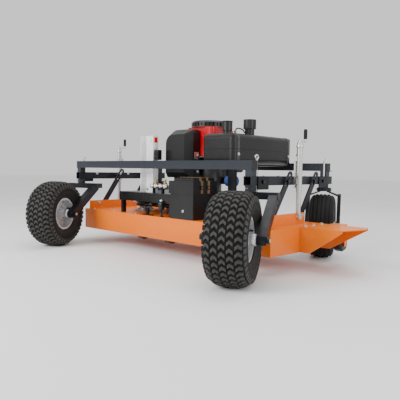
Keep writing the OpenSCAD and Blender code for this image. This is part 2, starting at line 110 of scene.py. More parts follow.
def noise(tree, scale, detail, rough=0.55, stretch=None):
    """A noise texture in the object's own coordinates; returns its value socket."""
    coord = tree.nodes.new("ShaderNodeTexCoord")
    tex = tree.nodes.new("ShaderNodeTexNoise")
    tex.inputs["Scale"].default_value = scale
    tex.inputs["Detail"].default_value = detail
    tex.inputs["Roughness"].default_value = rough
    source = coord.outputs["Object"]
    if stretch:
        mapping = tree.nodes.new("ShaderNodeMapping")
        mapping.inputs["Scale"].default_value = stretch
        tree.links.new(source, mapping.inputs["Vector"])
        source = mapping.outputs["Vector"]
    tree.links.new(source, tex.inputs["Vector"])
    return tex.outputs["Fac"]


def ramp(tree, value, low, first, high, last):
    """Goes from first, at the value low, to last, at high; each is a colour, or a number for a grey."""
    node = tree.nodes.new("ShaderNodeValToRGB")
    for element, place, colour in zip(node.color_ramp.elements, (low, high), (first, last)):
        element.position = place
        element.color = (*colour, 1.0) if isinstance(colour, tuple) else (colour, colour, colour, 1.0)
    tree.links.new(value, node.inputs["Fac"])
    return node.outputs["Color"]


def mix(tree, factor, a, b):
    """From a, where the factor is 0, to b, where it is 1; each is a colour or a socket."""
    node = tree.nodes.new("ShaderNodeMix")
    node.data_type = "RGBA"
    tree.links.new(factor, node.inputs["Factor"])
    for value, socket in ((a, node.inputs["A"]), (b, node.inputs["B"])):
        if isinstance(value, tuple):
            socket.default_value = (*value, 1.0)
        else:
            tree.links.new(value, socket)
    return node.outputs["Result"]


def bump(tree, shader, value, strength, distance):
    node = tree.nodes.new("ShaderNodeBump")
    node.inputs["Strength"].default_value = strength
    node.inputs["Distance"].default_value = distance
    tree.links.new(value, node.inputs["Height"])
    tree.links.new(node.outputs["Normal"], shader.inputs["Normal"])


def edge_mask(tree, low, high):
    """Light on convex edges, from the mesh's own pointiness."""
    geometry = tree.nodes.new("ShaderNodeNewGeometry")
    return ramp(tree, geometry.outputs["Pointiness"], low, 0.0, high, 1.0)


def height_mask(tree, low, high):
    """1 at the height low and 0 at the height high, in metres above the ground."""
    coord = tree.nodes.new("ShaderNodeTexCoord")
    split = tree.nodes.new("ShaderNodeSeparateXYZ")
    span = tree.nodes.new("ShaderNodeMapRange")
    span.inputs["From Min"].default_value = low
    span.inputs["From Max"].default_value = high
    span.inputs["To Min"].default_value = 1.0
    span.inputs["To Max"].default_value = 0.0
    tree.links.new(coord.outputs["Object"], split.inputs["Vector"])
    tree.links.new(split.outputs["Z"], span.inputs["Value"])
    return span.outputs["Result"]


def coated(name, dark, light, wear, rough, coat, dust=None, dust_top=None):
    """Paint, or a glossy lens: slow colour drift, orange-peel bump, paler edges, and dust low down."""
    mat, tree, shader = new_material(name)
    speckle = tuple(min(1.0, c * 1.12 + 0.004) for c in light)
    base = ramp(tree, noise(tree, 3.1, 3.0), 0.3, dark, 0.75, light)
    fine = ramp(tree, noise(tree, 55.0, 6.0, 0.7), 0.42, 0.0, 0.8, 1.0)
    base = mix(tree, fine, base, speckle)
    base = mix(tree, edge_mask(tree, 0.56, 0.68), base, wear)
    if dust:
        share = ramp(tree, height_mask(tree, DUST_FULL, dust_top), 0.0, 0.0, 1.0, DUST_MOST)
        base = mix(tree, share, base, dust)
    tree.links.new(base, shader.inputs["Base Color"])
    span = ramp(tree, noise(tree, 24.0, 5.0), 0.3, rough - 0.05, 0.8, rough + 0.1)
    tree.links.new(span, shader.inputs["Roughness"])
    shader.inputs["Specular IOR Level"].default_value = PAINT_SPECULAR
    shader.inputs["Coat Weight"].default_value = coat
    shader.inputs["Coat Roughness"].default_value = COAT_ROUGHNESS
    bump(tree, shader, noise(tree, 420.0, 2.0), 0.18, 0.0004)
    return mat


def metal(name, dark, light, rough, scale, brushed=None):
    """Bare or plated metal: grain or plating patches in colour and roughness."""
    mat, tree, shader = new_material(name)
    patch = noise(tree, scale, 5.0, 0.65, brushed)
    tree.links.new(ramp(tree, patch, 0.3, dark, 0.7, light), shader.inputs["Base Color"])
    span = ramp(tree, patch, 0.25, rough + 0.14, 0.75, rough - 0.06)
    tree.links.new(span, shader.inputs["Roughness"])
    shader.inputs["Metallic"].default_value = METALLIC
    bump(tree, shader, noise(tree, scale * 6.0, 2.0, 0.5, brushed), 0.15, 0.0004)
    return mat


def plastic(name, dark, light, rough, grain=900.0, depth=0.35):
    """Moulded plastic, rubber or webbing with a fine raised texture."""
    mat, tree, shader = new_material(name)
    base = ramp(tree, noise(tree, 6.0, 4.0), 0.3, dark, 0.8, light)
    tree.links.new(base, shader.inputs["Base Color"])
    span = ramp(tree, noise(tree, 35.0, 5.0), 0.3, rough - 0.06, 0.8, rough + 0.08)
    tree.links.new(span, shader.inputs["Roughness"])
    shader.inputs["Specular IOR Level"].default_value = PLASTIC_SPECULAR
    bump(tree, shader, noise(tree, grain, 2.0), depth, 0.0006)
    return mat


def tread_rubber(name, dark, light, edge_highlight):
    """Tyre rubber with slow dusty patches, and a painted highlight that makes it greyer along the convex edges of
    the lugs.
    """
    mat, tree, shader = new_material(name)
    base = ramp(tree, noise(tree, 14.0, 6.0, 0.6), 0.3, dark, 0.8, light)
    # Painted highlight: lighter colour on convex edges, from the mesh's pointiness
    base = mix(tree, edge_mask(tree, 0.52, 0.66), base, edge_highlight)
    shader.inputs["Specular IOR Level"].default_value = TREAD_SPECULAR
    tree.links.new(base, shader.inputs["Base Color"])
    span = ramp(tree, noise(tree, 40.0, 4.0), 0.3, 0.62, 0.8, 0.85)
    tree.links.new(span, shader.inputs["Roughness"])
    bump(tree, shader, noise(tree, 260.0, 4.0), 0.35, 0.0008)
    return mat


# ---- materials ----

# By the record's material slots
MATERIALS = {
    "frame_paint": coated(
        "frame_paint", dark=(0.0018, 0.0024, 0.0042), light=(0.0042, 0.0054, 0.0088),
        wear=(0.03, 0.035, 0.045), rough=0.38, coat=0.06),
    "deck_paint": coated(
        "deck_paint", dark=(0.68, 0.108, 0.0), light=(0.82, 0.142, 0.0),
        wear=(0.88, 0.23, 0.012), rough=0.34, coat=0.06, dust=(0.5, 0.09, 0.006), dust_top=0.2),
    "rim_paint": coated(
        "rim_paint", dark=(0.40, 0.41, 0.43), light=(0.56, 0.57, 0.59),
        wear=(0.7, 0.7, 0.7), rough=0.32, coat=0.3, dust=(0.22, 0.21, 0.2), dust_top=0.3),
    "shroud_red": coated(
        "shroud_red", dark=(0.36, 0.003, 0.008), light=(0.50, 0.006, 0.012),
        wear=(0.6, 0.06, 0.05), rough=0.24, coat=0.4),
    "filter_blue": coated(
        "filter_blue", dark=(0.012, 0.045, 0.26), light=(0.025, 0.08, 0.38),
        wear=(0.2, 0.3, 0.6), rough=0.26, coat=0.4),
    "post_white": coated(
        "post_white", dark=(0.66, 0.67, 0.67), light=(0.80, 0.80, 0.79),
        wear=(0.9, 0.9, 0.9), rough=0.36, coat=0.2),
    "zinc": metal(
        "zinc", dark=(0.50, 0.50, 0.49), light=(0.74, 0.74, 0.73), rough=0.30, scale=90.0),
    "steel": metal(
        "steel", dark=(0.26, 0.26, 0.27), light=(0.48, 0.48, 0.48), rough=0.34, scale=40.0,
        brushed=(1.0, 1.0, 9.0)),
    "blade_steel": metal(
        "blade_steel", dark=(0.07, 0.07, 0.075), light=(0.22, 0.22, 0.22), rough=0.42, scale=34.0,
        brushed=(9.0, 1.0, 1.0)),
    "engine_alloy": metal(
        "engine_alloy", dark=(0.045, 0.047, 0.05), light=(0.15, 0.153, 0.158), rough=0.46, scale=120.0),
    "black_plastic": plastic(
        "black_plastic", dark=(0.0045, 0.0045, 0.005), light=(0.010, 0.010, 0.011), rough=0.33),
    "belt_rubber": plastic(
        "belt_rubber", dark=(0.006, 0.006, 0.006), light=(0.016, 0.016, 0.016), rough=0.8, grain=300.0),
    # The tyre's lighter edge colour is a painted highlight on the lugs
    "tyre": tread_rubber(
        "tread_rubber", dark=(0.007, 0.007, 0.0072), light=(0.019, 0.0187, 0.018),
        edge_highlight=(0.045, 0.044, 0.042)),
}

# For pieces that the record has no slot for
# Painted shade: near-black rubber on the carcass between the lugs, standing in for the shade deep between them
GROOVE_SHADE = tread_rubber(
    "groove_painted_shade", dark=(0.0025, 0.0025, 0.0025), light=(0.006, 0.006, 0.006),
    edge_highlight=(0.012, 0.012, 0.012))
BRASS = metal(
    "brass_fitting", dark=(0.42, 0.25, 0.07), light=(0.62, 0.42, 0.15), rough=0.3, scale=70.0)
STRAP = plastic(
    "tan_webbing", dark=(0.16, 0.095, 0.045), light=(0.28, 0.18, 0.09), rough=0.8, grain=520.0, depth=0.8)
RED_LENS = coated(
    "red_reflector", dark=(0.45, 0.005, 0.005), light=(0.6, 0.01, 0.01),
    wear=(0.8, 0.1, 0.1), rough=0.15, coat=0.5)
WHITE_LENS = coated(
    "white_reflector", dark=(0.62, 0.62, 0.61), light=(0.78, 0.78, 0.76),
    wear=(0.9, 0.9, 0.9), rough=0.15, coat=0.5)

# ---- places in the frame ----


def mm(x, y, z):
    """A vector given in millimetres."""
    return Vector((x, y, z)) * MM


def joint(name):
    return next(j for j in frame["joints"] if j["name"] == name)


def centre(node):
    low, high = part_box(node)
    return (low + high) / 2


def at(node, x, y, z, away=(0, 0, 0)):
    """A point of a node's box: 0 is its low side, 1 its high side, and away is millimetres beyond that."""
    low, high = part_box(node)
    return Vector([low[i] + (high[i] - low[i]) * f + away[i] * MM for i, f in enumerate((x, y, z))])


def circle(middle, radius, count):
    """Points evenly round an upright axis through middle; the radius is in millimetres."""
    turns = [2 * math.pi * i / count for i in range(count)]
    return [middle + mm(radius * math.cos(t), radius * math.sin(t), 0) for t in turns]


# ---- mesh helpers ----

WASHER_THICK = 0.0018
BOLT_CHAMFER = 0.0012
CORNER_STEPS = 8


def link(obj, ride_on, mat, smooth=False):
    """Adds a piece to the scene on its body; mat is a record slot's name or a material."""
    bpy.context.scene.collection.objects.link(obj)
    if isinstance(mat, str):
        mat = MATERIALS[mat]
    obj.data.materials.append(mat)
    if smooth:
        for face in obj.data.polygons:
            face.use_smooth = True
    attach(obj, ride_on)


def from_bmesh(name, bm):
    bmesh.ops.recalc_face_normals(bm, faces=bm.faces)
    data = bpy.data.meshes.new(name)
    bm.to_mesh(data)
    bm.free()
    return bpy.data.objects.new(name, data)


def skin(bm, loops):
    """Faces between each loop of points and the next one."""
    for low, high in zip(loops, loops[1:]):
        for i in range(len(low)):
            j = (i + 1) % len(low)
            bm.faces.new((low[i], low[j], high[j], high[i]))


def frame_along(axis):
    """A 3x3 matrix whose third column is the given axis."""
    w = Vector(axis).normalized()
    u = Vector(UP) if abs(w.z) < 0.9 else Vector(RIGHT)
    u = (u - w * u.dot(w)).normalized()
    return Matrix((u, w.cross(u), w)).transposed()


def add_ring(bm, place, turn, radius, height, steps):
    """Points of a circle round the turned axis, height along it from place."""
    angles = [2 * math.pi * i / steps for i in range(steps)]
    return [bm.verts.new(place + turn @ Vector((radius * math.cos(a), radius * math.sin(a), height)))
            for a in angles]


def add_lathe(bm, place, axis, profile, steps):
    """Turns (radius, height) points round an axis; closes at radius 0."""
    turn = frame_along(axis)
    place = Vector(place)
    rings = []
    for radius, height in profile:
        if radius == 0:
            rings.append([bm.verts.new(place + turn @ Vector((0, 0, height)))])
        else:
            rings.append(add_ring(bm, place, turn, radius, height, steps))
    for low, high in zip(rings, rings[1:]):
        if len(low) == len(high) == 1:
            continue
        for i in range(steps):
            j = (i + 1) % steps
            if len(low) == 1:
                bm.faces.new((low[0], high[j], high[i]))
            elif len(high) == 1:
                bm.faces.new((low[i], low[j], high[0]))
            else:
                bm.faces.new((low[i], low[j], high[j], high[i]))


def add_box(bm, low, size, bevel):
    """A box with rounded edges, from its lowest corner."""
    made = bmesh.ops.create_cube(bm, size=1.0)["verts"]
    for v in made:
        v.co = Vector((v.co.x * size.x, v.co.y * size.y, v.co.z * size.z))
    edges = list({e for v in made for e in v.link_edges})
    out = bmesh.ops.bevel(bm, geom=edges, offset=bevel, segments=2, affect="EDGES", profile=0.6)
    made = {v for f in out["faces"] for v in f.verts} | {v for v in made if v.is_valid}
    for v in made:
        v.co = low + size / 2 + v.co


def add_bolt(bm, place, axis, radius):
    """A chamfered hex bolt head on a washer, standing out along axis."""
    turn = frame_along(axis)
    place = Vector(place)
    head = radius * 1.75
    washer = [(0, 0), (head * 1.25, 0), (head * 1.25, WASHER_THICK), (0, WASHER_THICK)]
    add_lathe(bm, place, axis, washer, 20)
    top = WASHER_THICK + radius * 1.2
    outline = ((1.0, WASHER_THICK), (1.0, top - BOLT_CHAMFER), (0.86, top))
    loops = [add_ring(bm, place, turn, head * share, height, 6) for share, height in outline]
    skin(bm, loops)
    bm.faces.new(loops[-1])
    bm.faces.new(list(reversed(loops[0])))


def tube_piece(name, points, radius, ride_on, mat):
    """A round tube or wire through the points, made as a mesh with closed ends."""
    curve = bpy.data.curves.new(name + "_path", "CURVE")
    curve.dimensions = "3D"
    curve.bevel_depth = radius
    curve.bevel_resolution = 4
    curve.use_fill_caps = True
    curve.resolution_u = 8
    spline = curve.splines.new("BEZIER")
    spline.bezier_points.add(len(points) - 1)
    for knot, place in zip(spline.bezier_points, points):
        knot.co = place
        knot.handle_left_type = knot.handle_right_type = "AUTO"
    holder = bpy.data.objects.new(name + "_path", curve)
    bpy.context.scene.collection.objects.link(holder)
    data = bpy.data.meshes.new_from_object(holder.evaluated_get(bpy.context.evaluated_depsgraph_get()))
    bpy.data.objects.remove(holder)
    data.name = name
    data.materials.clear()
    link(bpy.data.objects.new(name, data), ride_on, mat, True)


def bolts(name, ride_on, places):
    """Zinc hex bolts; each is (place, axis, thread radius in millimetres)."""
    bm = bmesh.new()
    for place, axis, radius in places:
        add_bolt(bm, place, axis, radius * MM)
    link(from_bmesh(name, bm), ride_on, "zinc")


def blocks(name, ride_on, mat, corners, bevel):
    """Small bevelled blocks; each is (lowest corner, size in millimetres)."""
    bm = bmesh.new()
    for corner, size in corners:
        add_box(bm, corner, mm(*size), bevel * MM)
    link(from_bmesh(name, bm), ride_on, mat)


def turned(name, ride_on, mat, places, profile, steps=36):
    """Turned pieces, alike, each at (place, axis); the profile is (radius, height) in millimetres."""
    bm = bmesh.new()
    for place, axis in places:
        add_lathe(bm, place, axis, [(r * MM, h * MM) for r, h in profile], steps)
    link(from_bmesh(name, bm), ride_on, mat, True)


def welds(name, ride_on, lines, radius):
    """Weld beads: overlapping small ripples laid from start to end, painted like the frame."""
    bm = bmesh.new()
    for start, end in lines:
        steps = max(2, int((end - start).length / (radius * MM * 0.9)))
        for i in range(steps + 1):
            made = bmesh.ops.create_icosphere(bm, subdivisions=1, radius=radius * MM)["verts"]
            place = start.lerp(end, i / steps)
            for v in made:
                v.co = place + v.co * random.uniform(0.88, 1.06)
    link(from_bmesh(name, bm), ride_on, "frame_paint", True)


def round_corners(low, high, corner):
    """Points round a rectangle's corner arcs: each arc's centre (a, b) and the way out of it (c, s)."""
    path = []
    for a, b, first in ((high[0] - corner, high[1] - corner, 0), (low[0] + corner, high[1] - corner, 90),
                        (low[0] + corner, low[1] + corner, 180), (high[0] - corner, low[1] + corner, 270)):
        for i in range(CORNER_STEPS + 1):
            angle = math.radians(first + 90 * i / CORNER_STEPS)
            path.append((a, b, math.cos(angle), math.sin(angle)))
    return path


# ---- materials on the CAD nodes ----

for row in frame["record"]["subparts"]:
    node = frame["nodes"][row["node"]]
    node.data.materials.clear()
    node.data.materials.append(MATERIALS[row["material_slot"]])

# ---- wheels: sizes in metres ----

# A tyre's outside radius, its width and the radii of its sidewall rings; how far its axle's nuts are from
# its middle, and half the length of the weld beads on its fork
WHEELS = {
    "rear": {"radius": 0.228, "width": 0.206, "rings": (0.135, 0.152), "nut": 0.173, "weld": 0.0126},
    "front": {"radius": 0.203, "width": 0.162, "rings": (0.14,), "nut": 0.141, "weld": 0.0105},
}
CASTERS = ("rear_left", "rear_right", "front_left", "front_right")

# The beads are a tyre's edges on the rim, and lie this far apart as a share of its width
BEAD_RADIUS = 0.1128
BEAD_SPREAD = 0.80
WALL = 0.014
TREAD_THICK = 0.02
# Kept free at each side of a tyre's width, and between a turf tyre's carcass and its shoulder blocks
SIDE_GAP = 0.001
# Powers below 1 that square off the round of a tyre's outside, across it and out from the rim
ACROSS_POWER = 0.45
OUT_POWER = 0.55
# The outer part of a tyre, down from its outside, that ring grooves are cut in
CROWN_DEEP = 0.03
CROWN_STEPS = 64
TYRE_STEPS = 128

LUG_ROWS = 40
LUG_PITCH = 2 * math.pi / LUG_ROWS
LUG_HEIGHT = 0.0075
# Painted shade: the carcass is coloured darker between the lugs, down this far from its outside
GROOVE_SHADE_DEPTH = 0.016
LUG_COLUMNS = (-0.70, -0.35, 0.0, 0.35, 0.70)
RIB_GROOVES = (-0.62, -0.32, 0.0, 0.32, 0.62)
GROOVE_HALF = 0.0032
GROOVE_DEEP = 0.006

# Where a rim's disc has its two faces, along the axle; then the radius of the circle that its nuts are on,
# and of their threads, in millimetres
DISC_BACK = 0.014
DISC_FRONT = 0.019
NUT_CIRCLE = 0.05
NUT_THREAD = 6.5


def wheel_kind(name):
    return WHEELS[name.split("_")[0]]


def half_width(name):
    return wheel_kind(name)["width"] / 2 - SIDE_GAP


def wheel_place(name):
    """A wheel's middle, its axle's direction and the way ahead."""
    spin = joint(name + "_wheel_spin")
    axis = Vector(spin["axis"]).normalized()
    return Vector(spin["pos_m"]), axis, Vector((-axis.y, axis.x, 0.0))


def ring_point(wheel, across, radius, angle):
    """A point at across along a wheel's axle, and at radius and angle, from straight ahead, round it."""
    place, axis, ahead = wheel
    up = Vector((0, 0, radius * math.sin(angle)))
    return place + axis * across + ahead * (radius * math.cos(angle)) + up


def add_revolved(bm, wheel, profile, steps):
    """A closed outline of (across, radius) points, turned round a wheel's axle."""
    angles = [2 * math.pi * i / steps for i in range(steps)]
    rings = [[bm.verts.new(ring_point(wheel, across, radius, angle)) for angle in angles]
             for across, radius in profile]
    skin(bm, rings + rings[:1])


def add_side_rings(bm, wheel, half, radii):
    """Fine raised rings on both sidewalls."""
    for side in (-1, 1):
        foot, crest = side * half * 0.885, side * half * 0.93
        for radius in radii:
            add_revolved(bm, wheel, [(foot, radius), (crest, radius + 0.002), (foot, radius + 0.004)], 96)


def tyre_profile(radius, half, count=26):
    """(across, radius) points round the outside of a tyre, from one bead to the other."""
    points = [(-half * BEAD_SPREAD, BEAD_RADIUS)]
    for i in range(1, count):
        t = math.pi * i / count
        across = -half * math.copysign(abs(math.cos(t)) ** ACROSS_POWER, math.cos(t))
        out = BEAD_RADIUS + (radius - BEAD_RADIUS) * math.sin(t) ** OUT_POWER
        if out > BEAD_RADIUS + 0.006:
            points.append((across, out))
    points.append((half * BEAD_SPREAD, BEAD_RADIUS))
    return points


def interpolate(profile, across):
    """The profile's radius at a distance across the tread."""
    for (a0, r0), (a1, r1) in zip(profile, profile[1:]):
        if a0 <= across <= a1:
            return r0 + (r1 - r0) * (across - a0) / max(a1 - a0, 1e-9)
    return profile[-1][1]


def grooved(outer, edge, middles):
    """The outline with ring grooves cut in the part of it that is outside the radius edge."""
    tread = [across for across, radius in outer if radius > edge]
    first, last = tread[0], tread[-1]
    crown = []
    for i in range(CROWN_STEPS + 1):
        across = first + (last - first) * i / CROWN_STEPS
        in_groove = any(abs(across - middle) < GROOVE_HALF for middle in middles)
        crown.append((across, interpolate(outer, across) - (GROOVE_DEEP if in_groove else 0)))
    before = [p for p in outer if p[0] < first and p[1] <= edge]
    after = [p for p in outer if p[0] > last and p[1] <= edge]
    return before + crown + after


def with_inside(outer, radius, half):
    """The closed cross-section of a hollow tyre, from its outside."""
    bead = half * BEAD_SPREAD - WALL
    inner = [(bead, BEAD_RADIUS), (half - WALL, BEAD_RADIUS + 0.04), (half * 0.6, radius - TREAD_THICK)]
    return outer + inner + [(-across, out) for across, out in reversed(inner)]


def add_lugs(bm, wheel, half, low, radius):
    """Rows of small V-shaped lugs that taper outwards, every second column half a row on."""
    surface = tyre_profile(low, half - SIDE_GAP, 60)
    rim = (0, 1, 2, 5, 4, 3)

    def corner(share, out, angle):
        across = share * half
        height = min(interpolate(surface, across) + out, radius)
        return bm.verts.new(ring_point(wheel, across, height, angle))

    for row in range(LUG_ROWS):
        for index, column in enumerate(LUG_COLUMNS):
            start = (row + 0.5 * (index % 2)) * LUG_PITCH
            bottom, top = [], []
            for end in (-0.27, 0.27):
                for k in (-1, 0, 1):
                    angle = start + (0.36 * abs(k) + end) * LUG_PITCH
                    bottom.append(corner(column + k * 0.155, -0.002, angle))
                    angle = start + (0.34 * abs(k) + end * 0.8) * LUG_PITCH
                    top.append(corner(column + k * 0.137, LUG_HEIGHT, angle))
            for face in ((0, 1, 4, 3), (1, 2, 5, 4)):
                bm.faces.new([top[c] for c in face])
                bm.faces.new([bottom[c] for c in reversed(face)])
            skin(bm, [[bottom[c] for c in rim], [top[c] for c in rim]])


def add_shoulder_blocks(bm, wheel, half, low):
    """A tapering block on each sidewall for every row of lugs, sunk into the tyre."""
    rim = (0, 1, 3, 2)
    for row in range(LUG_ROWS):
        middle = (row + 0.75) * LUG_PITCH
        for side in (-1, 1):
            corners = [(side * half * across, low - deep, middle + end * LUG_PITCH)
                       for across, deep, spread in ((0.93, 0.020, 0.36), (0.985, 0.046, 0.28))
                       for end in (-spread, spread)]
            inner = [bm.verts.new(ring_point(wheel, a - side * 0.012, r - 0.006, t)) for a, r, t in corners]
            outer = [bm.verts.new(ring_point(wheel, min(half, max(-half, a + side * 0.002)), r + 0.005, t))
                     for a, r, t in corners]
            loops = [[group[c] for c in rim] for group in (inner, outer)]
            for loop in loops:
                bm.faces.new(loop)
            skin(bm, loops)


def turf_tyre(name):
    """A rear tyre: lugs and shoulder blocks on a carcass that is painted darker between them, as shade."""
    wheel = wheel_place(name)
    place, axis, _ = wheel
    radius = wheel_kind(name)["radius"]
    half = half_width(name)
    low = radius - LUG_HEIGHT
    carcass = tyre_profile(low, half - SIDE_GAP)
    bm = bmesh.new()
    add_revolved(bm, wheel, with_inside(carcass, low, half - SIDE_GAP), TYRE_STEPS)
    # Carcass faces near the outside take the second material, the painted shade between the lugs
    for face in bm.faces:
        middle = face.calc_center_median() - place
        if (middle - axis * middle.dot(axis)).length > low - GROOVE_SHADE_DEPTH:
            face.material_index = 1
    add_lugs(bm, wheel, half, low, radius)
    add_shoulder_blocks(bm, wheel, half, low)
    add_side_rings(bm, wheel, half, wheel_kind(name)["rings"])
    tyre = from_bmesh(name + "_turf_tyre", bm)
    link(tyre, name + "_wheel", "tyre")
    # The second material slot is the painted shade between the lugs
    tyre.data.materials.append(GROOVE_SHADE)
    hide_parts(name + "_tyre")


def rib_tyre(name):
    """A ribbed front tyre: a smooth round crown with grooves cut round it."""
    wheel = wheel_place(name)
    radius = wheel_kind(name)["radius"]
    half = half_width(name)
    outer = grooved(tyre_profile(radius, half), radius - CROWN_DEEP, [share * half for share in RIB_GROOVES])
    bm = bmesh.new()
    add_revolved(bm, wheel, with_inside(outer, radius, half), TYRE_STEPS)
    add_side_rings(bm, wheel, half, wheel_kind(name)["rings"])
    tyre = from_bmesh(name + "_rib_tyre", bm)
    link(tyre, name + "_wheel", "tyre", True)
    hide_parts(name + "_tyre")


def wheel_trim(name):
    """Wheel nuts and hub seals on both faces of a rim, and its valve."""
    place, axis, ahead = wheel_place(name)
    wheel_body = name + "_wheel"
    nuts = []
    for side, disc in ((-1, DISC_BACK), (1, DISC_FRONT)):
        for i in range(4):
            angle = math.pi / 4 + math.pi / 2 * i
            nuts.append((ring_point((place, axis, ahead), disc, NUT_CIRCLE, angle), axis * side, NUT_THREAD))
    bolts(name + "_wheel_nuts", wheel_body, nuts)
    reach = wheel_kind(name)["width"] / 2 - 0.012
    turned(name + "_hub_seals", wheel_body, "zinc",
           [(place + axis * side * reach, axis * side) for side in (-1, 1)],
           [(30, -10), (30, 8), (27.5, 13), (20, 16.8), (11.5, 17.2), (11.5, -10), (30, -10)], 40)
    foot = place + axis * 0.036 + ahead * 0.082 + Vector((0, 0, 0.03))
    turned(name + "_valve", wheel_body, "black_plastic", [(foot, axis + ahead * 0.25)],
           [(0, 0), (5.5, 0), (5.5, 16), (4, 20), (4, 30), (4.5, 30.5), (4.5, 37), (0, 37)], 16)


for caster in CASTERS:
    if caster.startswith("rear"):
        turf_tyre(caster)
    else:
        rib_tyre(caster)
    wheel_trim(caster)

# ---- fittings: offsets, sizes and profiles in millimetres ----

GREASE_NIPPLE = [(0, 0), (4.5, 0), (4.5, 4), (2.6, 5), (2.6, 11), (3.6, 12),
                 (3.6, 14.5), (1.5, 16.5), (0, 16.8)]
# The tank's body, without its necks, and the radius of its corners
TANK_HEIGHT = 187
TANK_CORNER = 34
# How far the tank's straps and their bolts are from its ends
TANK_STRAP_INSET = 44


def frame_fittings():
    """Cross-tube plugs, rail bolts, welds and grease nipples of the frame."""
    plugs = []
    for cross in ("rear_cross_tube", "front_cross_tube"):
        plugs.append((at(cross, 0, 0, 0, (-1.5, 2, 2)), (9.5, 46.8, 46.8)))
        plugs.append((at(cross, 1, 0, 0, (-8, 2, 2)), (9.5, 46.8, 46.8)))
    blocks("tube_end_plugs", "frame", "black_plastic", plugs, 1.5)
    places = [(at("left_rail", 1, 0, 0.86, (0, y, 0)), RIGHT, 5.5) for y in (155, 384, 463)]
    places += [(at("right_rail", 0, 0, 0.86, (0, y, 0)), LEFT, 5.5) for y in (180, 330, 625)]
    bolts("rail_bolts", "frame", places)
    lines, spots = [], []
    for x, inward in ((0, 1), (1, -1)):
        bead = mm(inward * 40, 0, 0)
        for y, toward in ((0, 1), (1, -1)):
            start = at("corner_brackets", x, y, 1, (inward * 12, toward * 2, -0.5))
            lines.append((start, start + bead))
            start = at("swivel_housings", x, y, 1, (inward * 8, toward * 6, -1))
            lines.append((start, start + bead))
            spot = at("swivel_housings", x, y, 0.5, (inward * 28, toward * 0.5, 0))
            spots.append((spot, (0, -toward, 0.25)))
    welds("frame_welds", "frame", lines, 2.6)
    turned("swivel_grease_nipples", "frame", BRASS, spots, GREASE_NIPPLE, 16)


def caster_fittings(name):
    """The weld beads on a fork's crown and the nuts on the ends of its axle."""
    axle, axis, ahead = wheel_place(name)
    swivel = joint(name + "_swivel")["pos_m"]
    crown = Vector((swivel[0], swivel[1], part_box("swivel_housings")[0].z - 0.5 * MM))
    reach = ahead * wheel_kind(name)["weld"]
    lines = []
    for side in (-1, 1):
        middle = crown + axis * side * 16 * MM
        lines.append((middle - reach, middle + reach))
    welds(name + "_fork_welds", name + "_caster", lines, 2.2)
    nuts = [(axle + axis * side * wheel_kind(name)["nut"], axis * side) for side in (-1, 1)]
    turned(name + "_axle_nuts", name + "_caster", "zinc", nuts,
           [(0, -6), (8.5, -6), (8.5, -1), (7.5, 0), (0, 0)], 24)


def deck_fittings():
    """Bolts, knob and latch on the deck."""
    top = at("deck_shell", 0, 0, 1)
    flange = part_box("right_rear_link")[1].x + 11 * MM
    places = [(top + mm(90 + 248 * i, 24, 0), UP, 4.5) for i in range(7)]
    places += [(top + mm(19, y, 42), RIGHT, 6.0) for y in (119, 365, 455)]
    places += [(Vector((flange, top.y, top.z)) + mm(0, y, 42), RIGHT, 6.0) for y in (90, 405, 460)]
    bolts("deck_bolts", "deck", places)
    places = []
    for spindle in ("left_spindle", "middle_spindle", "right_spindle"):
        hub = centre(spindle)
        hub.z = top.z + 8 * MM
        places += [(spot, UP, 5.0) for spot in circle(hub, 62, 4)]
    bolts("spindle_housing_bolts", "deck", places)
    knob = at("deck_shell", 0, 0, 1, (843, 25, 0))
    turned("oil_drain_knob", "deck", "black_plastic", [(knob, UP)],
           [(0, 0), (14, 0), (14, 5), (6, 8), (6, 40), (16, 46), (20, 54), (20, 92), (15, 98), (0, 98)])
    turned("oil_drain_knob_cap", "deck", "zinc", [(knob, UP)],
           [(0, 97.5), (13, 97.5), (13, 106), (10, 110), (4, 110), (4, 114), (0, 114)])
    latch = at("deck_shell", 0, 0, 1, (658, 17, 0))
    blocks("rear_latch_base", "deck", "frame_paint",
           [(latch, (93, 20, 6)), (latch + mm(34, 4, 5), (24, 12, 44))], 1.5)
    handle = [latch + mm(x, 10, z) for x, z in ((-4, 46), (14, 58), (46, 48), (78, 58), (97, 46))]
    tube_piece("rear_latch_handle", handle, 5.0 * MM, "deck", "black_plastic")
    chute = [(at("discharge_chute", 0, 0.5, 1, (13, y, 0)), UP, 5.0) for y in (-90, 0, 90)]
    bolts("chute_bolts", "deck", chute)


